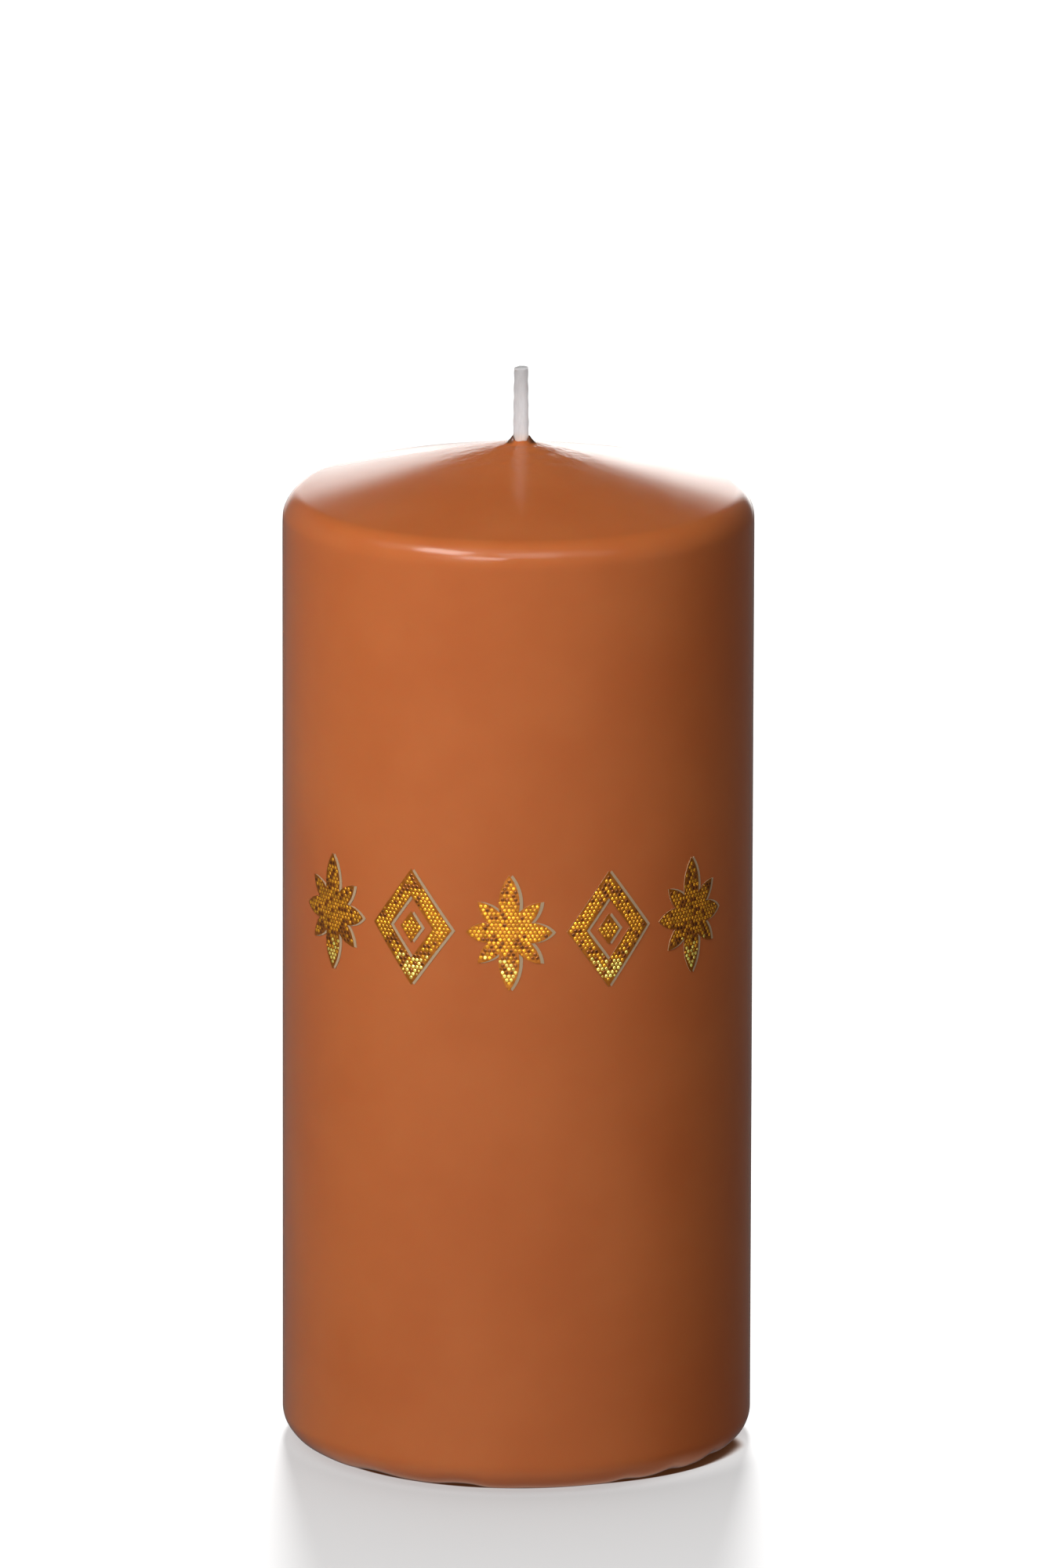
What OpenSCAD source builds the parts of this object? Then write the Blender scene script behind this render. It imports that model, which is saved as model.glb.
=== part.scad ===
// Pillar candle: a pressed wax core in a dyed wax coat, with a braided wick,
// a metal sustainer that holds the wick in the base, and a row of gold ornaments.
// Millimetres. The origin is the centre of the base, +Z is up, the ornaments face -Y.

/* [Candle] */
// Outside diameter of the candle
body_d = 70; // [60:1:100]
// Height from the base to the tip of the cone, without the wick
body_h = 152.4; // [120:0.1:250]
// Rise of the shallow cone on top, from its edge to its tip
cone_rise = 8.4; // [4:0.1:12]
// Radius of the round shoulder between the side and the cone
shoulder_r = 4; // [2.5:0.1:7]
// Radius of the round foot between the side and the base
foot_r = 4.4; // [2.5:0.1:7]
// Thickness of the dyed coat over the core
coat_t = 1.2; // [0.8:0.1:2]
// Diameter of the opening in the coat under the base, where the core shows
base_opening_d = 44; // [30:1:50]

/* [Wick] */
// Diameter of the braided wick
wick_d = 2.4; // [1.6:0.1:3.2]
// Length of wick that stands above the tip of the cone
wick_stub = 11; // [6:0.1:20]
// Sideways offset of the wick from the axis
wick_offset = 0.35; // [0:0.05:0.8]
// Radius of the wax collar round the root of the wick
collar_r = 2.7; // [2.2:0.1:4]
// Height of the wax collar above the tip of the cone
collar_h = 0.9; // [0.4:0.1:1.5]
// Width of the collar's level rim outside the wick's hole
collar_rim = 0.2; // [0.1:0.05:0.3]

/* [Sustainer] */
// Diameter of the metal disc under the core
disc_d = 19; // [12:0.5:25]
// Thickness of the sheet metal
sheet_t = 0.3; // [0.2:0.05:0.5]
// Height of the neck that grips the wick
neck_h = 6; // [3:0.5:10]

/* [Ornaments] */
// Number of ornaments in the row
ornament_count = 5; // [3:1:7]
// Angle from one ornament to the next
ornament_step = 24.5; // [23:0.5:40]
// Height of the middle of the row above the base
ornament_z = 86; // [40:1:110]
// Height of one ornament
ornament_h = 17.6; // [10:0.1:20]
// Width of one ornament
ornament_w = 12.8; // [8:0.1:13.6]
// Width of the strokes of a lozenge
stroke_w = 2.4; // [1.5:0.1:3]
// Turn of the whole row about the axis
row_turn = -2; // [-10:0.5:10]
// Thickness of the tan backing layer
backing_t = 0.08; // [0.05:0.01:0.1]
// Thickness of the gold glitter layer
glitter_t = 0.12; // [0.05:0.01:0.15]
// How far the backing shows past the right edge of the gold
backing_show = 0.5; // [0.2:0.1:0.8]

/* [Hidden] */
$fn = 96;
PLACES = [for (i = [1 : ornament_count]) i];

arc_steps = 10;
body_r = body_d / 2;
cone_angle = atan(cone_rise / body_r);

wick_r = wick_d / 2;
wick_top = body_h + wick_stub;
wick_end_h = 0.35;
collar_top_z = body_h + collar_h;
collar_top_r = wick_r + wick_offset + collar_rim;
collar_hollow = 1.8;

neck_r = wick_r + sheet_t;
neck_top = coat_t + neck_h;
disc_r = disc_d / 2;
disc_z = coat_t - sheet_t;

backing_r = body_r + backing_t;
glitter_r = backing_r + glitter_t;
leaf_w = 3.1;
short_leaf_l = 6.6;
short_leaf_w = 2.4;
hub_r = 1.7;

// How far a cutting shape runs past the faces that it cuts
past = 1;

dyed_wax = [0.66, 0.33, 0.16];
raw_wax = [0.93, 0.89, 0.80];
cotton = [0.84, 0.82, 0.80];
tinplate = [0.72, 0.73, 0.74];
tan_backing = [0.66, 0.55, 0.43];
gold = [0.84, 0.60, 0.16];

// Points along an arc in the radius-height plane, from angle a to angle b.
function arc(centre, r, a, b) =
    [for (i = [0 : arc_steps]) let (t = a + (b - a) * i / arc_steps)
        centre + r * [cos(t), sin(t)]];

// Height of the cone's surface at radius r, for a surface lying inset below the outside.
function cone_z(r, inset) = body_h - r * tan(cone_angle) - inset / cos(cone_angle);

// Height of the centre of the shoulder's arc.
function shoulder_z() =
    cone_z(body_r - shoulder_r, 0) - shoulder_r / cos(cone_angle);

// Outline of the body from the base, round the foot, up the side and over the shoulder.
function side_outline(inset) = concat(
    arc([body_r - foot_r, foot_r], foot_r - inset, -90, 0),
    arc([body_r - shoulder_r, shoulder_z()], shoulder_r - inset, 0, 90 - cone_angle)
);

// Hollow slope of the wax that climbs the wick, from its foot on the cone to its top.
function collar_outline() =
    let (low = cone_z(collar_r, 0))
    [for (i = [0 : arc_steps]) let (t = i / arc_steps)
        [
            collar_r + (collar_top_r - collar_r) * t,
            low + (collar_top_z - low) * pow(t, collar_hollow)
        ]];

// Everything inside the coat, solid, with its cone running to the axis.
module core_envelope() {
    rotate_extrude()
        polygon(concat([[0, coat_t]], side_outline(coat_t), [[0, cone_z(0, coat_t)]]));
}

// The hole that the wick fills, from below the base to above the collar.
module wick_hole() {
    translate([wick_offset, 0, -past])
        cylinder(r = wick_r, h = wick_top + past);
}

// Pressed wax, bored for the wick, with a wider bore at the base for the sustainer's neck.
module wax_core() {
    color(raw_wax)
    difference() {
        core_envelope();
        wick_hole();
        translate([wick_offset, 0, 0])
            cylinder(r = neck_r, h = neck_top);
    }
}

// Dyed shell over the side, the cone and the foot, turned in under the base.
module colour_coat() {
    color(dyed_wax)
    difference() {
        rotate_extrude()
            polygon(concat(
                [[0, 0]], side_outline(0), collar_outline(), [[0, collar_top_z]]
            ));
        core_envelope();
        wick_hole();
        translate([0, 0, -past])
            cylinder(d = base_opening_d, h = coat_t + 2 * past);
    }
}

// Braided cotton, from the sustainer's disc to the free end, a little slimmer at its tip.
module wick() {
    color(cotton)
    translate([wick_offset, 0, 0])
        rotate_extrude()
            polygon([
                [0, disc_z],
                [wick_r, disc_z],
                [wick_r, collar_top_z],
                [wick_r * 0.92, wick_top - wick_end_h],
                [wick_r * 0.75, wick_top],
                [0, wick_top]
            ]);
}

// Pressed sheet-metal disc with a neck, flush in the underside of the core.
module wick_sustainer() {
    color(tinplate)
    translate([wick_offset, 0, 0])
        rotate_extrude()
            polygon([
                [wick_r, disc_z],
                [disc_r, disc_z],
                [disc_r, coat_t],
                [neck_r, coat_t],
                [neck_r, neck_top],
                [wick_r, neck_top]
            ]);
}

// A pointed leaf that starts at the origin and lies along +X.
module leaf(length, width) {
    r = (pow(length / 2, 2) + pow(width / 2, 2)) / width;
    intersection() {
        translate([length / 2, r - width / 2]) circle(r);
        translate([length / 2, width / 2 - r]) circle(r);
    }
}

// Four long leaves and four short ones round a hub.
module rosette() {
    circle(hub_r);
    for (turn = [0, 180]) {
        rotate(turn) leaf(ornament_w / 2, leaf_w);
        rotate(turn + 90) leaf(ornament_h / 2, leaf_w);
    }
    for (turn = [45 : 90 : 315])
        rotate(turn) leaf(short_leaf_l, short_leaf_w);
}

// A diamond k times the size of an ornament.
module diamond(k) {
    polygon([
        [ornament_w / 2 * k, 0], [0, ornament_h / 2 * k],
        [-ornament_w / 2 * k, 0], [0, -ornament_h / 2 * k]
    ]);
}

// A lozenge-shaped frame with a small lozenge in its middle.
module lozenge() {
    inner_k = 1 - 2 * stroke_w * norm([ornament_w, ornament_h]) / (ornament_w * ornament_h);
    difference() {
        diamond(1);
        diamond(inner_k);
    }
    diamond(inner_k / 2);
}

// Odd ornaments are rosettes and even ones are lozenges.
module ornament_shape(i) {
    if (i % 2 == 1) rosette();
    else lozenge();
}

// Bends a flat shape onto the side of the candle, as a layer between two radii.
module wrapped(i, low_r, high_r) {
    turn = row_turn + (i - (ornament_count + 1) / 2) * ornament_step;
    intersection() {
        rotate([0, 0, turn])
            translate([0, 0, ornament_z])
                rotate([90, 0, 0])
                    linear_extrude(height = body_d)
                        children();
        translate([0, 0, ornament_z - ornament_h])
            difference() {
                cylinder(r = high_r, h = 2 * ornament_h);
                translate([0, 0, -past])
                    cylinder(r = low_r, h = 2 * (ornament_h + past));
            }
    }
}

// Tan under-layer that shows past the right edges of the gold.
module ornament_backing(i) {
    color(tan_backing)
    wrapped(i, body_r, backing_r) {
        ornament_shape(i);
        translate([backing_show, 0]) ornament_shape(i);
    }
}

// Gold glitter layer on the backing.
module ornament_face(i) {
    color(gold)
    wrapped(i, backing_r, glitter_r) ornament_shape(i);
}

wax_core();
colour_coat();
wick();
wick_sustainer();
for (i = PLACES) {
    ornament_backing(i);
    ornament_face(i);
}
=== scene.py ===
"""Looks of the pillar candle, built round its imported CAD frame. Lengths are in metres."""

import math

import bmesh
import bpy
import numpy as np
from mathutils import Matrix, Vector, noise
from mathutils.bvhtree import BVHTree

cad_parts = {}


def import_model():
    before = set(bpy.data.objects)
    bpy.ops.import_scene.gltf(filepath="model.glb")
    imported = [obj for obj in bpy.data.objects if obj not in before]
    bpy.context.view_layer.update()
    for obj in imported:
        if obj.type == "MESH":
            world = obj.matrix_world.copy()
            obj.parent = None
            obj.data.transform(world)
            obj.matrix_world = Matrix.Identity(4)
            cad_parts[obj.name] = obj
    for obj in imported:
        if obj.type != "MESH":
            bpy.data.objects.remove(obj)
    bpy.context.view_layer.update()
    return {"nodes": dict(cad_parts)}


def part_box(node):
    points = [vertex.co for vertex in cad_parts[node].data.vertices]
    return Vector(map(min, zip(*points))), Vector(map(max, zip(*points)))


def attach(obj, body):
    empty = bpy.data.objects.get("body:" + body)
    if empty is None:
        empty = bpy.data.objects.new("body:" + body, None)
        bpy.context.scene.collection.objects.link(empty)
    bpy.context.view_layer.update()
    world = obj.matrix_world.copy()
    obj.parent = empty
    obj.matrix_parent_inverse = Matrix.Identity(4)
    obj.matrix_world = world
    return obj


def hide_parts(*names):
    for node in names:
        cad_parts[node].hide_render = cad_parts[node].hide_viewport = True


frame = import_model()

MM = 0.001
ORNAMENT_COUNT = sum(name.startswith("ornament_face_") for name in frame["nodes"])

# ------------------------------------------------------------------ sizes read from the frame

coat_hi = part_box("colour_coat")[1]
core_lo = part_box("wax_core")[0]
wick_lo, wick_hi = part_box("wick")
disc_lo, disc_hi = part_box("wick_sustainer")

BODY_R = coat_hi.x
COLLAR_TOP = coat_hi.z
COAT_T = core_lo.z
WICK_X = (wick_lo.x + wick_hi.x) / 2
WICK_R = (wick_hi.x - wick_lo.x) / 2
WICK_TOP = wick_hi.z
DISC_R = (disc_hi.x - disc_lo.x) / 2
DISC_Z = disc_lo.z
NECK_TOP = disc_hi.z

# ------------------------------------------------------------------ sizes of the CAD outline

COLLAR_H = 0.9 * MM
COLLAR_R = 2.7 * MM
COLLAR_HOLLOW = 1.8
CONE_RISE = 8.4 * MM
SHOULDER_R = 4 * MM
FOOT_R = 4.4 * MM
OPENING_R = 22 * MM
SHEET_T = 0.3 * MM

CONE_TIP = COLLAR_TOP - COLLAR_H
COLLAR_TOP_R = WICK_R + 0.08 * MM
CONE_ANGLE = math.atan(CONE_RISE / BODY_R)


def cone_z(radius, inset):
    """Height of the cone at a radius, for a surface that lies inset below the outside."""
    return CONE_TIP - radius * math.tan(CONE_ANGLE) - inset / math.cos(CONE_ANGLE)


SHOULDER_Z = cone_z(BODY_R - SHOULDER_R, SHOULDER_R)

# ------------------------------------------------------------------ camera

CAMERA_DISTANCE = 3.1008
CAMERA_ELEVATION = math.radians(14.173)
CAMERA_ROLL = 0.0024
CAMERA_AIM = Vector((0.7 * MM, 0, 99.78 * MM))
CAMERA_LENS = 479.46


def make_camera():
    """A long lens in front of the candle, a little above it."""
    data = bpy.data.cameras.new("camera")
    data.lens = CAMERA_LENS
    data.sensor_width = 36
    data.clip_start = 0.1
    data.clip_end = 100
    camera = bpy.data.objects.new("camera", data)
    bpy.context.scene.collection.objects.link(camera)
    back = Vector((0, -math.cos(CAMERA_ELEVATION), math.sin(CAMERA_ELEVATION)))
    right = Vector((1, 0, 0))
    up = back.cross(right)
    rolled_right = right * math.cos(CAMERA_ROLL) + up * math.sin(CAMERA_ROLL)
    rolled_up = up * math.cos(CAMERA_ROLL) - right * math.sin(CAMERA_ROLL)
    camera.location = CAMERA_AIM + back * CAMERA_DISTANCE
    camera.rotation_mode = "QUATERNION"
    axes = Matrix((rolled_right, rolled_up, back)).transposed()
    camera.rotation_quaternion = axes.to_quaternion()
    bpy.context.scene.camera = camera


make_camera()

# ------------------------------------------------------------------ mesh helpers


def smoothstep(value, low, high):
    """0 below low, 1 above high, and a smooth rise between them."""
    t = np.clip((value - low) / (high - low), 0, 1)
    return t * t * (3 - 2 * t)


def arc(centre, radius, start, end, steps):
    """Points along an arc in the radius-height plane."""
    turn = np.linspace(start, end, steps + 1)
    return np.column_stack((centre[0] + radius * np.cos(turn), centre[1] + radius * np.sin(turn)))


def line(start, end, steps):
    """Points along a straight line in the radius-height plane."""
    t = np.linspace(0, 1, steps + 1)[:, None]
    return (1 - t) * np.array(start) + t * np.array(end)


def joined(*parts):
    """Outlines end to end, without the point that each shares with the one before."""
    return np.concatenate([parts[0]] + [part[1:] for part in parts[1:]])


def turned(outline, columns):
    """An outline turned about the Z axis: its points by row and column, and each column's angle."""
    angle = np.linspace(0, 2 * math.pi, columns, endpoint=False)
    radius, height = outline[:, 0, None], outline[:, 1, None]
    points = np.stack((radius * np.cos(angle), radius * np.sin(angle), height + 0 * angle), axis=-1)
    return points, angle


def mesh_object(name, points, faces, material):
    """A mesh object with outward normals and smooth faces."""
    mesh = bpy.data.meshes.new(name)
    mesh.from_pydata(points, [], faces)
    work = bmesh.new()
    work.from_mesh(mesh)
    bmesh.ops.recalc_face_normals(work, faces=work.faces)
    work.to_mesh(mesh)
    work.free()
    mesh.shade_smooth()
    mesh.materials.append(material)
    piece = bpy.data.objects.new(name, mesh)
    bpy.context.scene.collection.objects.link(piece)
    return piece


def ring_faces(rows, columns, closed):
    """Quads between neighbouring rows of a turned grid.

    A closed grid joins its last row to its first."""
    strips = rows if closed else rows - 1
    row, column = np.meshgrid(np.arange(strips), np.arange(columns), indexing="ij")
    after, beside = (row + 1) % rows, (column + 1) % columns
    corners = (
        row * columns + column,
        row * columns + beside,
        after * columns + beside,
        after * columns + column,
    )
    return np.stack(corners, axis=-1).reshape(-1, 4).tolist()


def closed_ring(name, points, material):
    """A closed turned shape with a hole through it."""
    rows, columns = points.shape[:2]
    return mesh_object(name, points.reshape(-1, 3), ring_faces(rows, columns, True), material)


def waves(angle, harmonics, random, drift=0.0):
    """Cosines of the given harmonics with random sizes, phases and drifts, between -1 and 1."""
    total, most = 0, 0
    for harmonic in harmonics:
        size = random.uniform(0.4, 1)
        phase = random.uniform(0, 2 * math.pi)
        lean = random.uniform(-1, 1)
        total = total + size * np.cos(harmonic * angle + phase + lean * drift)
        most += size
    return total / most


def paint(piece, name, colours):
    """Stores a colour for each vertex."""
    values = np.ones((len(piece.data.vertices), 4), np.float32)
    values[:, :3] = colours
    attribute = piece.data.color_attributes.new(name, "FLOAT_COLOR", "POINT")
    attribute.data.foreach_set("color", values.ravel())


def place(piece, slot, *nodes):
    """Puts a piece on the only body, in the place of the CAD nodes that it stands for."""
    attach(piece, "root")
    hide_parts(*nodes)
    return piece


# ------------------------------------------------------------------ material helpers

WHITE = (1, 1, 1, 1)


def add_node(tree, kind, inputs=None, **settings):
    """A node with its settings. Each input is fed by a number, a colour or another node's socket."""
    node = tree.nodes.new(kind)
    for name, value in settings.items():
        setattr(node, name, value)
    for key, value in (inputs or {}).items():
        if isinstance(value, bpy.types.NodeSocket):
            tree.links.new(value, node.inputs[key])
        else:
            node.inputs[key].default_value = value
    return node


def math_node(tree, operation, first, second):
    """The result of an operation, such as ADD, on two values."""
    return add_node(tree, "ShaderNodeMath", {0: first, 1: second}, operation=operation).outputs[0]


def vector_node(tree, operation, output, *vectors):
    """One output of an operation, such as LENGTH, on one or two vectors."""
    inputs = dict(enumerate(vectors))
    return add_node(tree, "ShaderNodeVectorMath", inputs, operation=operation).outputs[output]


def ramp(tree, value, low, high, start=0.0, end=1.0):
    """A smooth change from start to end as a value goes from low to high."""
    inputs = {"Value": value, "From Min": low, "From Max": high, "To Min": start, "To Max": end}
    return add_node(tree, "ShaderNodeMapRange", inputs, interpolation_type="SMOOTHSTEP").outputs[0]


def mixed(tree, factor, first, second):
    """A colour between two others."""
    node = add_node(tree, "ShaderNodeMix", {0: factor, 6: first, 7: second}, data_type="RGBA")
    return node.outputs[2]


def noise_node(tree, vector, scale, detail=2.0):
    """The value of a noise texture."""
    inputs = {"Vector": vector, "Scale": scale, "Detail": detail, "Roughness": 0.5}
    return add_node(tree, "ShaderNodeTexNoise", inputs).outputs["Fac"]


def coordinates(tree):
    """A point's place on the object."""
    return add_node(tree, "ShaderNodeTexCoord").outputs["Object"]


def stretched(tree, scale):
    """Object coordinates multiplied by a scale for each axis."""
    inputs = {"Vector": coordinates(tree), "Scale": scale}
    return add_node(tree, "ShaderNodeMapping", inputs).outputs[0]


def bump(tree, height, strength, distance):
    """A normal from a height."""
    inputs = {"Height": height, "Strength": strength, "Distance": distance}
    return add_node(tree, "ShaderNodeBump", inputs).outputs[0]


def new_material(name, **constants):
    """A material, its node tree and its shader, with constants on the shader's own sockets."""
    material = bpy.data.materials.new(name)
    material.use_nodes = True
    shader = material.node_tree.nodes["Principled BSDF"]
    for key, value in constants.items():
        shader.inputs[key.replace("_", " ")].default_value = value
    return material, material.node_tree, shader


def finish_surface(tree, shader, colour, roughness, normal):
    """Feeds the three sockets that every surface of the candle varies."""
    tree.links.new(colour, shader.inputs["Base Color"])
    tree.links.new(roughness, shader.inputs["Roughness"])
    tree.links.new(normal, shader.inputs["Normal"])


# ------------------------------------------------------------------ materials

WAX = (0.445, 0.122, 0.032, 1)
WAX_DEEP = (0.415, 0.106, 0.026, 1)
# Painted shade: a dark brown mixed into the wax on the collar's flanks beside the wick.
WAX_PAINTED_SHADE = (0.10, 0.035, 0.015, 1)
GRAIN_LIGHT = (0.80, 0.74, 0.62, 1)
GRAIN_GAP = (0.60, 0.53, 0.41, 1)
COTTON = (0.57, 0.565, 0.575, 1)
COTTON_TIP = (0.42, 0.415, 0.42, 1)
COTTON_WORN = (0.36, 0.35, 0.35, 1)
COTTON_WAXED = (0.68, 0.52, 0.44, 1)
TIN_DARK = (0.55, 0.56, 0.57, 1)
TIN_LIGHT = (0.70, 0.70, 0.70, 1)
TAN_DARK = (0.34, 0.24, 0.14, 1)
TAN_LIGHT = (0.40, 0.28, 0.17, 1)
GLITTER_DUSK = (0.25, 0.09, 0.008, 1)


def wax_material():
    """Dyed satin wax: faint clouds, upright streaks from dipping, and a skin that isn't level.

    Towards the wick the skin puckers and loses some of its gloss, and the collar's flanks beside the
    wick carry painted shade."""
    material, tree, shader = new_material(
        "terracotta_wax",
        Subsurface_Weight=0.25,
        Subsurface_Radius=(1.0, 0.4, 0.2),
        Subsurface_Scale=1.2 * MM,
        IOR=1.44,
    )
    flat = coordinates(tree)
    clouds = noise_node(tree, flat, 45, 3)
    streaks = noise_node(tree, stretched(tree, (1, 1, 0.06)), 160)
    dyed = mixed(tree, ramp(tree, clouds, 0.3, 0.7), WAX, WAX_DEEP)
    # The painted shade of the collar's flanks, stored on the coat's points.
    wick_root = add_node(tree, "ShaderNodeAttribute", attribute_name="wick_root").outputs["Fac"]
    colour = mixed(tree, wick_root, dyed, WAX_PAINTED_SHADE)

    from_tip = vector_node(tree, "SUBTRACT", 0, flat, (0, 0, CONE_TIP))
    reach = vector_node(tree, "LENGTH", "Value", from_tip)
    gloss = ramp(tree, streaks, 0.3, 0.7, 0.14, 0.19)
    dull = ramp(tree, reach, 6 * MM, 24 * MM, 0.08, 0.0)
    roughness = math_node(tree, "ADD", gloss, dull)

    skin = math_node(tree, "MULTIPLY", noise_node(tree, flat, 220), 0.002)
    fade = ramp(tree, reach, 3 * MM, 16 * MM, 0.3, 0.0)
    pucker = math_node(tree, "MULTIPLY", noise_node(tree, flat, 420), fade)
    normal = bump(tree, math_node(tree, "ADD", skin, pucker), 1.0, 1 * MM)
    finish_surface(tree, shader, colour, roughness, normal)
    return material


def core_material():
    """Undyed wax pressed from grains."""
    material, tree, shader = new_material(
        "pressed_wax",
        Subsurface_Weight=0.3,
        Subsurface_Radius=(1.0, 0.8, 0.6),
        Subsurface_Scale=1 * MM,
    )
    inputs = {"Vector": coordinates(tree), "Scale": 1100}
    distance = add_node(tree, "ShaderNodeTexVoronoi", inputs).outputs["Distance"]
    tone = ramp(tree, distance, 0.1, 0.7)
    lumps = math_node(tree, "SUBTRACT", 1.0, distance)
    colour = mixed(tree, tone, GRAIN_LIGHT, GRAIN_GAP)
    roughness = ramp(tree, tone, 0, 1, 0.45, 0.65)
    finish_surface(tree, shader, colour, roughness, bump(tree, lumps, 0.5, 0.15 * MM))
    return material


def wick_material():
    """Waxed cotton, greyer towards the tip, with a film of the coat's wax at its root."""
    material, tree, shader = new_material(
        "waxed_cotton",
        Subsurface_Weight=0.7,
        Subsurface_Radius=(1, 0.95, 0.9),
        Subsurface_Scale=1.5 * MM,
    )
    height = add_node(tree, "ShaderNodeSeparateXYZ", {0: coordinates(tree)}).outputs["Z"]
    fibres = noise_node(tree, stretched(tree, (1, 1, 0.12)), 5200, 3)
    up_wick = ramp(tree, height, COLLAR_TOP + 2 * MM, WICK_TOP)
    film = ramp(tree, height, COLLAR_TOP - 1.2 * MM, COLLAR_TOP + 0.6 * MM, 1.0, 0.0)
    wear = ramp(tree, fibres, 0.35, 0.75, 0.0, 0.25)
    cotton = mixed(tree, up_wick, COTTON, COTTON_TIP)
    colour = mixed(tree, wear, mixed(tree, film, cotton, COTTON_WAXED), COTTON_WORN)
    roughness = ramp(tree, fibres, 0.3, 0.7, 0.42, 0.6)
    finish_surface(tree, shader, colour, roughness, bump(tree, fibres, 0.35, 0.06 * MM))
    return material


def tinplate_material():
    """Bright tinplate with fine rolling marks."""
    material, tree, shader = new_material("tinplate", Metallic=1.0)
    marks = noise_node(tree, stretched(tree, (1, 0.04, 1)), 4000, 3)
    colour = mixed(tree, marks, TIN_DARK, TIN_LIGHT)
    roughness = ramp(tree, marks, 0.3, 0.7, 0.28, 0.42)
    finish_surface(tree, shader, colour, roughness, bump(tree, marks, 0.2, 0.01 * MM))
    return material


def backing_material():
    """Matt tan vinyl film."""
    material, tree, shader = new_material("tan_vinyl")
    grain = noise_node(tree, coordinates(tree), 3500, 3)
    colour = mixed(tree, grain, TAN_DARK, TAN_LIGHT)
    roughness = ramp(tree, grain, 0.3, 0.7, 0.5, 0.62)
    finish_surface(tree, shader, colour, roughness, bump(tree, grain, 0.15, 0.02 * MM))
    return material


def glitter_material():
    """Gold foil in each grain's tone, which includes painted glints and painted shade, with darker
    speckles.
    """
    material, tree, shader = new_material("gold_glitter", Metallic=0.7)
    tone = add_node(tree, "ShaderNodeAttribute", attribute_name="tone").outputs["Color"]
    speckle = noise_node(tree, coordinates(tree), 2600)
    colour = mixed(tree, ramp(tree, speckle, 0.35, 0.7, 0.0, 0.3), tone, GLITTER_DUSK)
    roughness = ramp(tree, speckle, 0.3, 0.7, 0.3, 0.45)
    finish_surface(tree, shader, colour, roughness, bump(tree, speckle, 0.3, 0.03 * MM))
    return material


# ------------------------------------------------------------------ dyed coat

COAT_COLUMNS = 256
OUT_OF_ROUND = 0.04 * MM
DENT = 0.07 * MM
DENT_DRIFT = 30 * MM
STREAK = 0.006 * MM
STREAK_DRIFT = 0.4
SHOULDER_RIPPLE = 0.12 * MM
SHOULDER_WEAR = 0.15 * MM
FOOT_LIFT = 0.5 * MM
EDGE_R = 0.25 * MM
# Height above the collar's foot where its painted shade reaches full strength.
PAINTED_SHADE_H = 0.35 * MM
WAX_SEED = 11
FOOT_SEED = 816


def side_outline(inset, arc_steps, wall_steps, cone_steps, cone_end):
    """The body from its base, round the foot, up the side, over the shoulder and up the cone."""
    foot = arc((BODY_R - FOOT_R, FOOT_R), FOOT_R - inset, -math.pi / 2, 0, arc_steps)
    centre = (BODY_R - SHOULDER_R, SHOULDER_Z)
    shoulder = arc(centre, SHOULDER_R - inset, 0, math.pi / 2 - CONE_ANGLE, arc_steps)
    wall = line(foot[-1], shoulder[0], wall_steps)
    cone = line(shoulder[-1], (cone_end, cone_z(cone_end, inset)), cone_steps)
    return joined(foot, wall, shoulder, cone)


def collar_outline(steps):
    """The hollow slope of wax that climbs the wick."""
    t = np.linspace(0, 1, steps + 1)
    low = cone_z(COLLAR_R, 0)
    radius = COLLAR_R + (COLLAR_TOP_R - COLLAR_R) * t
    return np.column_stack((radius, low + (COLLAR_TOP - low) * t**COLLAR_HOLLOW))


def coat_outline():
    """The coat's closed outline, and the number of its first points that are on the outside."""
    edge = arc((OPENING_R + EDGE_R, EDGE_R), EDGE_R, -math.pi, -math.pi / 2, 6)
    under = line(edge[-1], (BODY_R - FOOT_R, 0), 12)
    collar = collar_outline(12)
    soaked_r = WICK_R * 0.86
    lip = line(collar[-1], (WICK_R * 1.05, COLLAR_TOP - 0.02 * MM), 3)
    wick_root = line(lip[-1], (soaked_r, COLLAR_TOP - 0.5 * MM), 3)
    bore = line(wick_root[-1], (soaked_r, cone_z(soaked_r, COAT_T)), 6)
    outside = joined(edge, under, side_outline(0, 36, 118, 54, COLLAR_R), collar, lip, wick_root)
    inside = side_outline(COAT_T, 10, 24, 14, soaked_r)[::-1]
    top_edge = line(inside[-1], (OPENING_R, COAT_T), 5)
    return joined(outside, bore, inside, top_edge), len(outside)


def outline_normals(outline):
    """Unit vectors at right angles to an outline, to the right of the way it runs."""
    along = np.gradient(outline, axis=0)
    along /= np.linalg.norm(along, axis=1)[:, None]
    return np.column_stack((along[:, 1], -along[:, 0]))


def near_ornaments(angle, height):
    """1 where the ornaments lie on the wall, falling smoothly to 0 round them."""
    boxes = [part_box(f"ornament_backing_{i + 1}") for i in range(ORNAMENT_COUNT)]
    low = min(box[0].z for box in boxes)
    high = max(box[1].z for box in boxes)
    left = min(math.atan2(box[0].x, -box[0].y) for box in boxes)
    right = max(math.atan2(box[1].x, -box[1].y) for box in boxes)
    margin, fade = 1 * MM, 8 * MM
    from_front = (angle + math.pi / 2 + math.pi) % (2 * math.pi) - math.pi
    from_middle = np.abs(from_front - (left + right) / 2)
    half_width = (right - left) / 2
    beside = smoothstep(from_middle, half_width + 0.05, half_width + 0.3)
    above = smoothstep(height, high + margin, high + margin + fade)
    below = 1 - smoothstep(height, low - margin - fade, low - margin)
    return (1 - beside) * (1 - above) * (1 - below)


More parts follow.
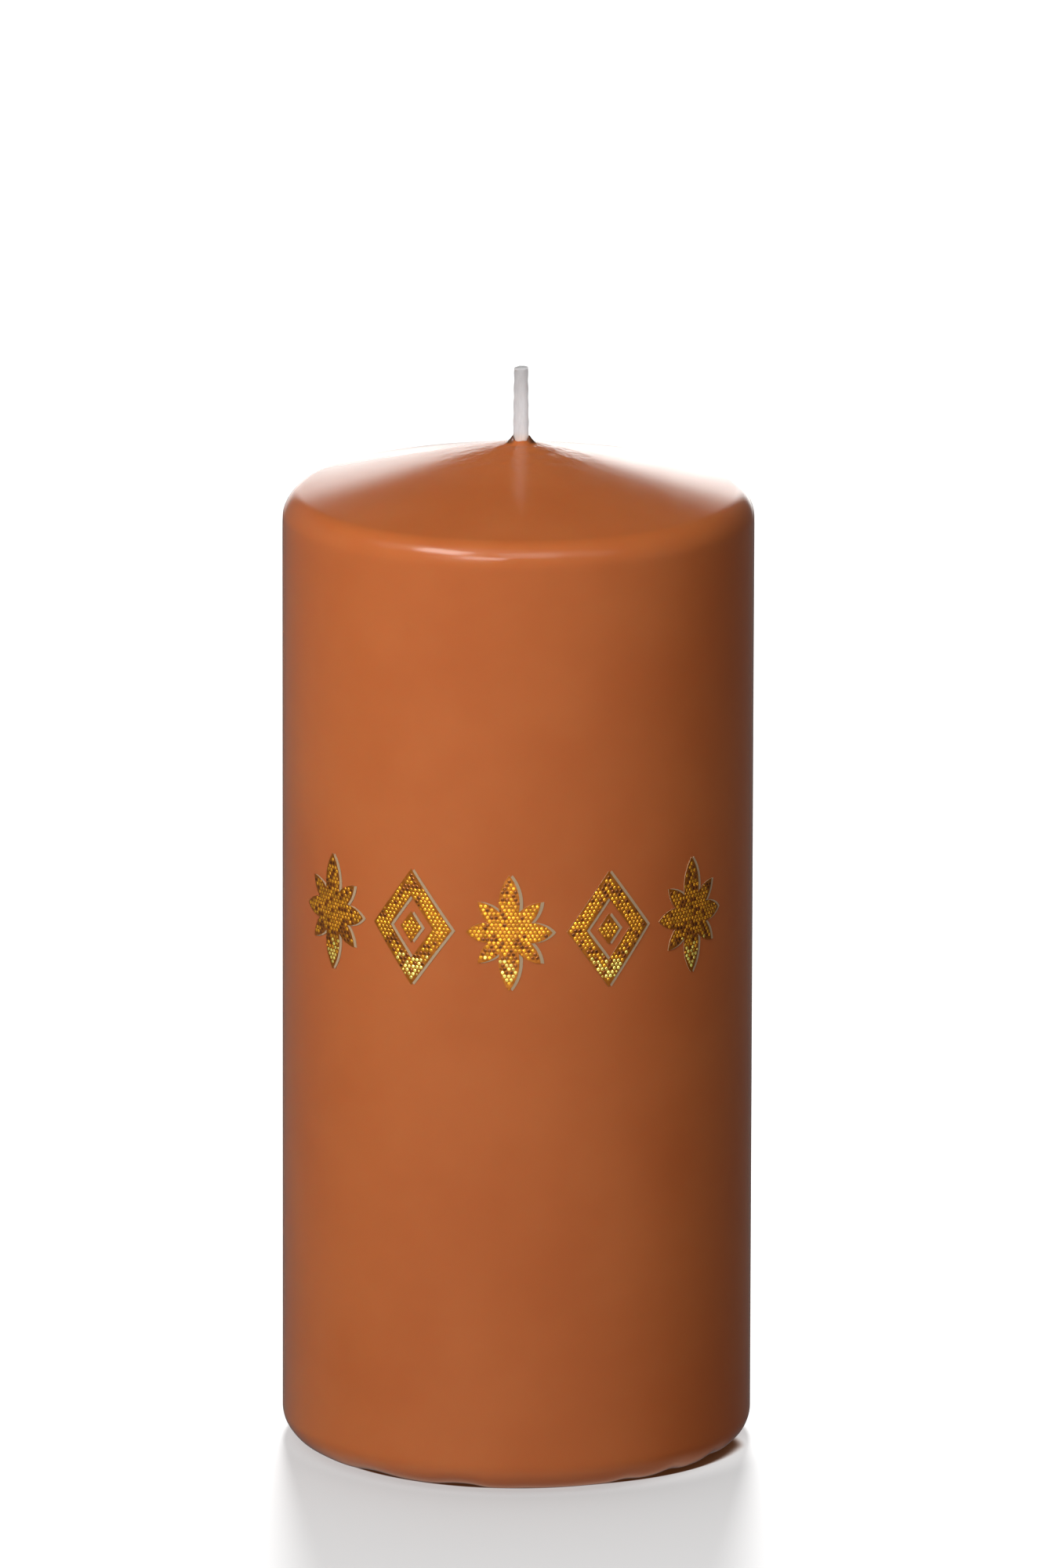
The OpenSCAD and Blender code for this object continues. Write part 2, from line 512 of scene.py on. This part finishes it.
def dip_marks(angle, height):
    """How deep the marks of dipping are: out of round, dents, streaks and a rippled shoulder.

    The shoulder is a little more worn on the left."""
    random = np.random.default_rng(WAX_SEED)
    slow = height / DENT_DRIFT
    depth = OUT_OF_ROUND * (1 + waves(angle, (2, 3), random)) / 2
    depth = depth + DENT * (1 + waves(angle, range(2, 9), random, slow)) / 2
    streaks = waves(angle, range(18, 60, 3), random, slow * STREAK_DRIFT)
    depth = depth + STREAK * (1 + streaks) / 2
    from_shoulder = (height - SHOULDER_Z - SHOULDER_R * 0.55) / (SHOULDER_R * 0.45)
    shoulder = np.exp(-(from_shoulder**2))
    depth = depth + SHOULDER_RIPPLE * shoulder * (1 + waves(angle, range(5, 19), random)) / 2
    return depth + SHOULDER_WEAR * shoulder * smoothstep(-np.cos(angle), 0.3, 0.95)


def press_inward(outline, points, angle, outside_count):
    """Presses the marks into the outside: never out, so that the coat keeps to its size."""
    height = outline[:, 1, None]
    radius = outline[:, 0, None]
    depth = dip_marks(angle, height) * (1 - near_ornaments(angle, height))
    top = smoothstep(radius, COLLAR_R, COLLAR_R + 4 * MM)
    base = smoothstep(height, 0, FOOT_R)
    depth = depth * top * base
    depth[outside_count:] = 0
    normal = outline_normals(outline)
    points[..., 0] -= depth * normal[:, 0, None] * np.cos(angle)
    points[..., 1] -= depth * normal[:, 0, None] * np.sin(angle)
    points[..., 2] -= depth * normal[:, 1, None]


def lift_foot(outline, points, angle, outside_count):
    """Raises parts of the foot's lower edge off the floor."""
    random = np.random.default_rng(FOOT_SEED)
    uneven = waves(angle, range(9, 27), random) + 0.6 * waves(angle, (3, 4, 5), random)
    lift = FOOT_LIFT * smoothstep(uneven, -0.25, 0.7)
    low = 1 - smoothstep(outline[:, 1, None], 0, FOOT_R)
    out = smoothstep(outline[:, 0, None], OPENING_R + 1 * MM, BODY_R - FOOT_R)
    rise = lift * low * out
    rise[outside_count:] = 0
    points[..., 2] += rise


def shape_collar(outline, points, angle, outside_count):
    """Centres the collar on the wick, and lets it climb highest at its left and right.

    Gives back how much painted shade, from 0 to 1, darkens each point on the collar's flanks beside the
    wick."""
    random = np.random.default_rng(WAX_SEED + 1)
    near = 1 - smoothstep(outline[:, 0, None], COLLAR_TOP_R, COLLAR_R + 3 * MM)
    points[..., 0] += near * WICK_X
    side = smoothstep(np.abs(np.cos(angle)), 0.72, 0.98)
    # Painted shade falls on the collar's flanks, left and right of the wick.
    painted_shade = smoothstep(np.abs(np.cos(angle)), 0.55, 0.9)
    climb = 0.42 + 0.34 * side + 0.08 * waves(angle, (2, 3, 5), random)
    base = cone_z(COLLAR_R, 0)
    above = np.maximum(outline[:, 1, None] - base, 0) * (outline[:, 0, None] <= COLLAR_R)
    above = above * (np.arange(len(outline)) < outside_count)[:, None]
    points[..., 2] -= above * (1 - climb)
    return painted_shade * smoothstep(above * climb, 0.0, PAINTED_SHADE_H)


def dyed_coat():
    """The dyed shell, dented by dipping, with its uneven foot, its collar round the wick, and painted
    shade on the collar's flanks beside the wick.
    """
    outline, outside_count = coat_outline()
    points, angle = turned(outline, COAT_COLUMNS)
    press_inward(outline, points, angle, outside_count)
    lift_foot(outline, points, angle, outside_count)
    wick_root = shape_collar(outline, points, angle, outside_count)
    coat = closed_ring("dyed_coat", points, wax_material())
    # Stores the collar's painted shade for the wax material.
    paint(coat, "wick_root", wick_root.reshape(-1, 1))
    return place(coat, "dyed_wax", "colour_coat")


# ------------------------------------------------------------------ pressed core

CORE_COLUMNS = 192
GRAIN = 1.0 * MM
GRAIN_DEPTH = 0.22 * MM


def core_outline():
    """The core's closed outline, and the number of its first points that are on the underside.

    It runs along the underside, the outside, the wick's bore and the wider bore of the neck."""
    neck_r = WICK_R + SHEET_T
    under = line((neck_r, COAT_T), (BODY_R - FOOT_R, COAT_T), 64)
    side = side_outline(COAT_T, 10, 24, 14, WICK_R)
    bore = line(side[-1], (WICK_R, NECK_TOP), 20)
    step = line(bore[-1], (neck_r, NECK_TOP), 1)
    neck = line(step[-1], (neck_r, COAT_T), 4)
    return joined(under, side, bore, step, neck)[:-1], len(under)


def pressed_core():
    """The undyed core. Grains show where the coat leaves the underside open."""
    outline, under_count = core_outline()
    points, _ = turned(outline, CORE_COLUMNS)
    near = 1 - smoothstep(outline[:, 0, None], WICK_R + SHEET_T, 6 * MM)
    points[..., 0] += near * WICK_X
    for row in range(under_count):
        bare = smoothstep(outline[row, 0], DISC_R - 1 * MM, DISC_R + 1 * MM)
        bare = bare * (1 - smoothstep(outline[row, 0], OPENING_R, OPENING_R + 2 * MM))
        for column in range(CORE_COLUMNS):
            spot = Vector(points[row, column] / GRAIN)
            gap = noise.voronoi(spot)[0][0]
            points[row, column, 2] += GRAIN_DEPTH * bare * min(gap, 1)
    return place(closed_ring("pressed_core", points, core_material()), "raw_wax", "wax_core")


# ------------------------------------------------------------------ wick

WICK_COLUMNS = 48
WICK_ROW = 0.2 * MM
BRAID_STRANDS = 4
BRAID_PITCH = 2.5 * MM
BRAID_LIFT = 0.35
BRAID_DEPTH = 0.07 * MM
FIBRE_DEPTH = 0.03 * MM
FIBRE_DRIFT = 1.5 * MM
TIP_SLIM = 0.90
TIP_RINGS = (0.93, 0.62, 0.3)
TIP_H = 0.5 * MM
TRIM_UNEVEN = 0.12 * MM
TRIM_LEAN = 0.18 * MM
TRIM_ROUND = 0.06 * MM
WICK_SEED = 5


def braid_height(angle, height):
    """Height of the braid's surface from 0 to 1, where strands of two spirals pass over each other."""
    one = BRAID_STRANDS * angle / (2 * math.pi) + height / BRAID_PITCH
    other = BRAID_STRANDS * angle / (2 * math.pi) - height / BRAID_PITCH
    over = np.cos(math.pi * one) * np.cos(math.pi * other)
    first = np.cos(math.pi * one) ** 2 + BRAID_LIFT * over
    second = np.cos(math.pi * other) ** 2 - BRAID_LIFT * over
    return np.maximum(first, second) / (1 + BRAID_LIFT)


def wick_surface(angle, random):
    """Points by row and column from the sustainer's disc to the tip, and inward across the tip."""
    rows = round((WICK_TOP - DISC_Z) / WICK_ROW)
    around, up = np.meshgrid(angle, np.linspace(DISC_Z, WICK_TOP, rows + 1))
    taper = 1 - (1 - TIP_SLIM) * smoothstep(up, COLLAR_TOP, WICK_TOP)
    radius = WICK_R * taper - BRAID_DEPTH * (1 - braid_height(around, up))
    radius -= FIBRE_DEPTH * (1 + waves(around, range(6, 16), random, up / FIBRE_DRIFT)) / 2
    points = np.stack((WICK_X + radius * np.cos(around), radius * np.sin(around), up), axis=-1)
    rings = []
    for share in TIP_RINGS:
        ring = points[-1].copy()
        ring[:, 0] = WICK_X + (ring[:, 0] - WICK_X) * share
        ring[:, 1] *= share
        rings.append(ring)
    return np.concatenate((points, np.stack(rings)))


def trim_tip(points, angle, random):
    """Lowers the tip unevenly, most on its left and at its edge, as a worn trim leaves it."""
    trim = TRIM_UNEVEN * (1 + waves(angle, (2, 3, 5, 7), random)) / 2
    left = TRIM_LEAN * smoothstep(-np.cos(angle), 0.2, 1.0)
    near_tip = smoothstep(points[..., 2], WICK_TOP - TIP_H, WICK_TOP)
    share = np.hypot(points[..., 0] - WICK_X, points[..., 1]) / (WICK_R * TIP_SLIM)
    points[..., 2] -= near_tip * (trim + left * share**2 + TRIM_ROUND * share**8)


def braided_wick():
    """The waxed braid from the sustainer to its trimmed tip, closed by a fan at each end."""
    random = np.random.default_rng(WICK_SEED)
    angle = np.linspace(0, 2 * math.pi, WICK_COLUMNS, endpoint=False)
    points = wick_surface(angle, random)
    trim_tip(points, angle, random)
    bottom = [WICK_X, 0, DISC_Z]
    top = [WICK_X, 0, points[-1, :, 2].mean()]
    vertices = points.reshape(-1, 3).tolist() + [bottom, top]
    bottom_index, top_index = len(vertices) - 2, len(vertices) - 1
    faces = ring_faces(len(points), WICK_COLUMNS, False)
    last = (len(points) - 1) * WICK_COLUMNS
    for column in range(WICK_COLUMNS):
        beside = (column + 1) % WICK_COLUMNS
        faces.append([bottom_index, beside, column])
        faces.append([top_index, last + column, last + beside])
    return place(mesh_object("braided_wick", vertices, faces, wick_material()), "cotton", "wick")


# ------------------------------------------------------------------ sustainer

DISC_COLUMNS = 96
BEAD_R = 6.2 * MM
BEAD_W = 0.7 * MM
BEAD_DEPTH = 0.14 * MM
MOUTH_W = 1.2 * MM
MOUTH_DEPTH = 0.2 * MM


def stamped_sustainer():
    """The metal disc with a pressed ring and a rounded rim, and the neck round the wick."""
    rim = SHEET_T / 2
    under = line((WICK_R, DISC_Z), (DISC_R - rim, DISC_Z), 70)
    edge = arc((DISC_R - rim, DISC_Z + rim), rim, -math.pi / 2, math.pi / 2, 8)
    over = line(edge[-1], (WICK_R + SHEET_T, DISC_Z + SHEET_T), 20)
    neck = line(over[-1], (WICK_R + SHEET_T, NECK_TOP), 12)
    lip = line(neck[-1], (WICK_R, NECK_TOP), 1)
    bore = line(lip[-1], (WICK_R, DISC_Z), 12)
    outline = joined(under, edge, over, neck, lip, bore)[:-1]
    ring = np.exp(-(((outline[:, 0] - BEAD_R) / BEAD_W) ** 2))
    mouth = 1 - smoothstep(outline[:, 0], WICK_R, WICK_R + MOUTH_W)
    below = outline[:, 1] < DISC_Z + 0.01 * MM
    outline[:, 1] += below * (BEAD_DEPTH * ring + MOUTH_DEPTH * mouth)
    points, _ = turned(outline, DISC_COLUMNS)
    points[..., 0] += WICK_X
    sustainer = closed_ring("stamped_sustainer", points, tinplate_material())
    return place(sustainer, "tinplate", "wick_sustainer")


# ------------------------------------------------------------------ ornaments

GLITTER_R = BODY_R + 0.2 * MM
FILM_R = GLITTER_R - 0.07 * MM
GRAIN_PITCH = 0.64 * MM
GRAIN_ROW = GRAIN_PITCH * math.sqrt(3) / 2
GRAIN_SIZES = (0.29 * MM, 0.29 * MM * 0.66)
GRAIN_SIDES = 6
GRAIN_TOP = 0.62
GRAIN_SINK = 0.01 * MM
GRAIN_DROP = 0.018 * MM
GRAIN_TILT = 0.9
GLITTER_SEED = 23
GOLD = (0.70, 0.32, 0.016)
GOLD_FILM = (0.36, 0.105, 0.005)
# Dark grains, partly at random and partly painted shade, and bright grains, which are painted glints.
GOLD_DARK_AND_SHADE = (0.13, 0.035, 0.004)
GOLD_PAINTED_GLINT = (1.0, 0.84, 0.18)


def wall_point(radius, along, height):
    """A point on a cylinder about the axis: along is the distance round BODY_R from the front."""
    turn = along / BODY_R
    return Vector((radius * math.sin(turn), -radius * math.cos(turn), height))


def band(share, middle, width):
    """1 at the middle of a band across an ornament, falling to 0 above and below it."""
    return math.exp(-(((share - middle) / width) ** 2))


def grain_tone(share, random):
    """The colour of one grain at a share of the ornament's height.

    Bright grains are painted glints and lie in a low band. Dark grains come at random everywhere, and
    more often in painted shade bands above the glints and at the top."""
    # A low band of painted glints.
    bright = 0.85 * band(share, 0.13, 0.11)
    # Dark grains at random, plus painted shade bands higher up.
    dark = 0.45 * max(band(share, 0.92, 0.15), 0.8 * band(share, 0.32, 0.08)) + 0.12
    draw = random.uniform()
    if draw < bright:
        tone = GOLD_PAINTED_GLINT
    elif draw < bright + dark:
        tone = GOLD_DARK_AND_SHADE
    else:
        tone = GOLD
    gain = random.uniform(0.6, 1.25)
    return [min(part * gain, 1) for part in tone]


def pressed_film(node):
    """The points of a CAD face with its outside pressed in to the film, under the grains."""
    points = []
    for vertex in node.data.vertices:
        spot = vertex.co.copy()
        reach = math.hypot(spot.x, spot.y)
        if reach > FILM_R:
            spot.x *= FILM_R / reach
            spot.y *= FILM_R / reach
        points.append(spot)
    return points


def grain_foot(along, height, size):
    """The corners of a grain's foot, along and up the wall."""
    turns = np.arange(GRAIN_SIDES) * 2 * math.pi / GRAIN_SIDES + math.pi / GRAIN_SIDES
    return [(along + size * math.cos(turn), height + size * math.sin(turn)) for turn in turns]


def grain_points(along, height, size, corners, tilt):
    """A grain's foot, sunk into the film, and then its smaller, tilted top."""
    points = [wall_point(FILM_R - GRAIN_SINK, *corner) for corner in corners]
    for x, z in corners:
        lean = (x - along) / size * tilt[0] + (z - height) / size * tilt[1]
        top_x = along + (x - along) * GRAIN_TOP
        top_z = height + (z - height) * GRAIN_TOP
        points.append(wall_point(GLITTER_R - GRAIN_DROP * (1 + lean), top_x, top_z))
    return points


def grain_faces(start):
    """The sides, the top and the foot of a grain whose first point has the number start."""
    foot = [start + corner for corner in range(GRAIN_SIDES)]
    top = [start + GRAIN_SIDES + corner for corner in range(GRAIN_SIDES)]
    sides = []
    for corner in range(GRAIN_SIDES):
        beside = (corner + 1) % GRAIN_SIDES
        sides.append([foot[corner], foot[beside], top[beside], top[corner]])
    return sides + [top, foot[::-1]]


def glitter_face(index, material):
    """Gold film with a raised grain in each cell of a hexagonal grid."""
    node = frame["nodes"][f"ornament_face_{index}"]
    low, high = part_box(node.name)
    random = np.random.default_rng(GLITTER_SEED + index)
    vertices = pressed_film(node)
    faces = [list(polygon.vertices) for polygon in node.data.polygons]
    tones = [GOLD_FILM] * len(vertices)
    solid = BVHTree.FromPolygons([vertex.co for vertex in node.data.vertices], faces)
    middle = (low + high) / 2
    centre = math.atan2(middle.x, -middle.y) * BODY_R
    tall = high.z - low.z
    rows = math.ceil(tall / GRAIN_ROW)
    columns = math.ceil(tall / GRAIN_PITCH)

    def covered(along, height):
        """Whether the CAD face lies under a point of the wall."""
        outside = wall_point(GLITTER_R + 1 * MM, along, height)
        inward = wall_point(-1, along, 0)
        return solid.ray_cast(outside, inward, 2 * MM)[0] is not None

    for row in range(rows + 1):
        height = low.z + row * GRAIN_ROW
        for column in range(-columns // 2, columns // 2 + 1):
            along = centre + (column + 0.5 * (row % 2)) * GRAIN_PITCH
            # Each grain's colour holds painted glints low down and painted shade bands higher up.
            tone = grain_tone((height - low.z) / tall, random)
            tilt = random.uniform(-GRAIN_TILT, GRAIN_TILT, 2)
            for size in GRAIN_SIZES:
                corners = grain_foot(along, height, size)
                if all(covered(*corner) for corner in corners):
                    faces += grain_faces(len(vertices))
                    vertices += grain_points(along, height, size, corners, tilt)
                    tones += [tone] * (2 * GRAIN_SIDES)
                    break
    piece = mesh_object(f"glitter_face_{index}", vertices, faces, material)
    piece.data.shade_flat()
    paint(piece, "tone", tones)
    return place(piece, "gold_glitter", node.name)


def ornaments():
    """The gold faces, and the CAD backings in tan vinyl."""
    gold, tan = glitter_material(), backing_material()
    pieces = []
    for index in range(1, ORNAMENT_COUNT + 1):
        backing = frame["nodes"][f"ornament_backing_{index}"]
        backing.data.materials.clear()
        backing.data.materials.append(tan)
        pieces += [backing, glitter_face(index, gold)]
    return pieces


# ------------------------------------------------------------------ studio

MIDDLE = Vector((0, 0, 110 * MM))
TOP = Vector((0, 0, CONE_TIP))
FLOOR_R = 12.0
FLOOR_CORNERS = 95
FLOOR_TONE = (0.3, 0.3, 0.3, 1)
FLOOR_GLOW = 0.325
# A painted brighter rim of glow on the floor just round the foot, and its width.
PAINTED_RIM_LIGHT = 0.165
PAINTED_RIM_LIGHT_W = 6 * MM
# A painted shadow under the foot: its radius, its reach to the right front, its edge, the strength of
# the faint painted glow of bounced light in it, its colour and that glow's colour.
PAINTED_SHADOW_R = 31.25 * MM
CONTACT_SHADE = 3.3 * MM
PAINTED_SHADOW_EDGE = 0.25 * MM
PAINTED_BOUNCE_STRENGTH = 0.06
PAINTED_SHADOW_COLOUR = (0.10, 0.05, 0.03, 1)
PAINTED_BOUNCE_COLOUR = (0.5, 0.22, 0.08, 1)
GROUND_COLOUR = (1, 0.62, 0.42, 1)
STRIP_COLOUR = (1.0, 1.0, 0.98, 1)
BACKDROP = 1.0


def floor_material():
    """Pale paper that is lit from below, as on a light table, with a painted shadow under the foot and a
    painted brighter rim round it.

    The painted shadow reaches further, with a softer edge, at the right front, and holds a faint painted
    brown glow of light bounced off the wax."""
    material, tree, shader = new_material("pale_floor", Roughness=0.9, Specular_IOR_Level=0.0)
    spot = coordinates(tree)
    reach = vector_node(tree, "LENGTH", "Value", spot)
    unit = vector_node(tree, "NORMALIZE", 0, spot)
    way = add_node(tree, "ShaderNodeSeparateXYZ", {0: unit}).outputs
    right = ramp(tree, way["X"], 0.3, 1.1, 0.0, CONTACT_SHADE)
    shade = math_node(tree, "MULTIPLY", right, ramp(tree, way["Y"], -0.25, 0.0, 1.0, 0.0))
    past = math_node(tree, "SUBTRACT", math_node(tree, "SUBTRACT", reach, shade), PAINTED_SHADOW_R)
    blur = ramp(tree, way["X"], 0.8, 1.0, PAINTED_SHADOW_EDGE, 5 * PAINTED_SHADOW_EDGE)
    # clear is 1 outside the painted shadow under the foot and 0 inside it.
    clear = ramp(tree, math_node(tree, "DIVIDE", past, blur), -1.0, 1.0)
    # The floor's even glow, raised by a painted brighter rim just outside the painted shadow.
    glow = ramp(tree, past, 0.0, PAINTED_RIM_LIGHT_W, FLOOR_GLOW + PAINTED_RIM_LIGHT, FLOOR_GLOW)
    # Inside the painted shadow only a faint painted brown glow of bounced light is left.
    strength = ramp(tree, clear, 0.0, 1.0, PAINTED_BOUNCE_STRENGTH, glow)
    tree.links.new(strength, shader.inputs["Emission Strength"])
    tree.links.new(mixed(tree, clear, PAINTED_BOUNCE_COLOUR, WHITE), shader.inputs["Emission Color"])
    # The painted shadow's dark brown colour under the foot.
    tree.links.new(mixed(tree, clear, PAINTED_SHADOW_COLOUR, FLOOR_TONE), shader.inputs["Base Color"])
    return material


def floor():
    """A large pale disc under the candle."""
    turns = np.linspace(0, 2 * math.pi, FLOOR_CORNERS, endpoint=False)
    points = [(FLOOR_R * math.cos(turn), FLOOR_R * math.sin(turn), 0) for turn in turns]
    piece = mesh_object("floor", points, [list(range(FLOOR_CORNERS))], floor_material())
    piece.visible_diffuse = False
    piece.visible_glossy = False
    return piece


def glow_of(tree, colour, strength):
    """A background of one colour and a given strength."""
    return add_node(tree, "ShaderNodeBackground", {"Color": colour, "Strength": strength}).outputs[0]


def room_light(tree, axes):
    """The strength of a dim room, brighter on the left and in front, and darkest high behind."""
    high = ramp(tree, axes["Z"], 0.35, 0.55)
    high_behind = math_node(tree, "MULTIPLY", high, ramp(tree, axes["Y"], 0.0, 0.4))
    sides = ramp(tree, axes["X"], -1.0, 1.0, 0.20, 0.06)
    front = ramp(tree, axes["Y"], -1.0, 0.1, 0.16, 0.0)
    room = math_node(tree, "ADD", sides, front)
    return math_node(tree, "MULTIPLY", room, ramp(tree, high_behind, 0.0, 1.0, 1.0, 0.3))


def strip_light(tree, axes):
    """The strength of a bright strip low behind the candle, stronger on its right."""
    strip = ramp(tree, axes["X"], -0.1, 0.1, 1.65, 2.75)
    aside = math_node(tree, "ABSOLUTE", axes["X"], 0.0)
    for edge in (
        ramp(tree, axes["Z"], 0.18, 0.42, 1.0, 0.0),
        ramp(tree, axes["Z"], -0.22, -0.08),
        ramp(tree, axes["Y"], 0.1, 0.5),
        ramp(tree, aside, 0.16, 0.32, 1.0, 0.0),
    ):
        strip = math_node(tree, "MULTIPLY", strip, edge)
    return strip


def world():
    """A dim room with a bright strip low behind and a warm glow from the ground.

    The backdrop itself shows as plain white."""
    studio_world = bpy.data.worlds.new("studio")
    bpy.context.scene.world = studio_world
    studio_world.use_nodes = True
    tree = studio_world.node_tree
    tree.nodes.clear()
    way = add_node(tree, "ShaderNodeTexCoord").outputs["Generated"]
    axes = add_node(tree, "ShaderNodeSeparateXYZ", {0: way}).outputs
    ground = ramp(tree, axes["Z"], -0.75, -0.45, 0.6, 0.0)
    light = glow_of(tree, WHITE, room_light(tree, axes))
    for more in (
        glow_of(tree, GROUND_COLOUR, ground),
        glow_of(tree, STRIP_COLOUR, strip_light(tree, axes)),
    ):
        light = add_node(tree, "ShaderNodeAddShader", {0: light, 1: more}).outputs[0]
    seen = add_node(tree, "ShaderNodeLightPath").outputs["Is Camera Ray"]
    backdrop = glow_of(tree, WHITE, BACKDROP)
    shown = add_node(tree, "ShaderNodeMixShader", {0: seen, 1: light, 2: backdrop}).outputs[0]
    add_node(tree, "ShaderNodeOutputWorld", {"Surface": shown})


def lamp(name, data, place_at, aim, lit, seen_by):
    """Puts a light in the studio. It lights only the objects given, as diffuse light, glints or both."""
    shown = bpy.data.objects.new(name, data)
    bpy.context.scene.collection.objects.link(shown)
    shown.location = place_at
    shown.rotation_mode = "QUATERNION"
    shown.rotation_quaternion = (place_at - aim).to_track_quat("Z", "Y")
    shown.light_linking.receiver_collection = lit
    shown.visible_diffuse = "diffuse" in seen_by
    shown.visible_glossy = "glints" in seen_by


def softbox(name, place_at, aim, width, depth, radiance, lit, seen_by=("diffuse", "glints")):
    """A rectangular light of a given radiance."""
    data = bpy.data.lights.new(name, "AREA")
    data.shape = "RECTANGLE"
    data.size, data.size_y = width, depth
    data.energy = radiance * math.pi * width * depth
    lamp(name, data, place_at, aim, lit, seen_by)


def sun(name, elevation, spread, strength, lit):
    """A distant light behind the candle."""
    data = bpy.data.lights.new(name, "SUN")
    data.energy = strength
    data.angle = math.radians(spread)
    rise = math.radians(elevation)
    away = Vector((0, math.cos(rise), math.sin(rise)))
    lamp(name, data, away, Vector((0, 0, 0)), lit, ("diffuse",))


def around(azimuth, elevation, distance):
    """A point round the middle of the candle. Azimuth 0 is in front of it, and 90 on its right."""
    turn, rise = math.radians(azimuth), math.radians(elevation)
    level = math.cos(rise)
    away = Vector((math.sin(turn) * level, -math.cos(turn) * level, math.sin(rise)))
    return MIDDLE + away * distance


def above_top(x, y, z):
    """A point at a distance from the tip of the cone."""
    return TOP + Vector((x, y, z))


def group(name, objects):
    """A collection of the objects that a lamp lights."""
    collection = bpy.data.collections.new(name)
    for one in objects:
        collection.objects.link(one)
    return collection


def candle_lamps(candle):
    """The key light, the lamps whose glints show on the shoulder, and the fills."""
    lit = group("candle_lit", candle)
    softbox("key", around(-30, 33.5, 0.62), MIDDLE, 0.3, 0.3, 14.0, lit, ("diffuse",))
    softbox("glint_left", above_top(-0.45, -0.40, 0.68), TOP, 0.35, 0.25, 9.5, lit, ("glints",))
    softbox("glint_right", above_top(-0.30, -0.88, 0.62), TOP, 0.38, 0.20, 6.5, lit, ("glints",))
    softbox("glint_soft", above_top(0.10, -0.82, 0.93), TOP, 0.55, 0.45, 2.0, lit, ("glints",))
    softbox("ceiling", above_top(-0.15, -0.5, 1.0), TOP, 2.6, 0.5, 0.7, lit)
    softbox("fill", around(72, 6, 0.9), MIDDLE, 0.4, 0.4, 1.7, lit, ("diffuse",))
    softbox("back_fill", around(165, 8, 0.9), MIDDLE, 0.5, 0.5, 6.0, lit, ("diffuse",))


def studio(candle, ground):
    """The world and all the lamps, some of which light only the glitter, the wick or the floor."""
    world()
    candle_lamps(candle)
    glitter = [piece for piece in candle if piece.name.startswith("glitter")]
    wick = [piece for piece in candle if piece.name == "braided_wick"]
    glitter_lit = group("glitter_lit", glitter)
    wick_lit = group("wick_lit", wick)
    floor_lit = group("floor_lit", [ground])
    softbox("sparkle", around(-8, 22, 0.9), MIDDLE, 0.9, 0.5, 19.0, glitter_lit, ("glints",))
    softbox("wick_fill", around(72, 10, 0.9), MIDDLE, 0.4, 0.4, 9.0, wick_lit, ("diffuse",))
    sun("back_sun", 38, 9, 8.5, floor_lit)
    sun("back_sky", 70, 120, 4.25, floor_lit)
    bpy.context.scene.view_settings.view_transform = "Standard"


# ------------------------------------------------------------------ the scene

candle_pieces = [dyed_coat(), pressed_core(), braided_wick(), stamped_sustainer()]
candle_pieces += ornaments()
studio(candle_pieces, floor())
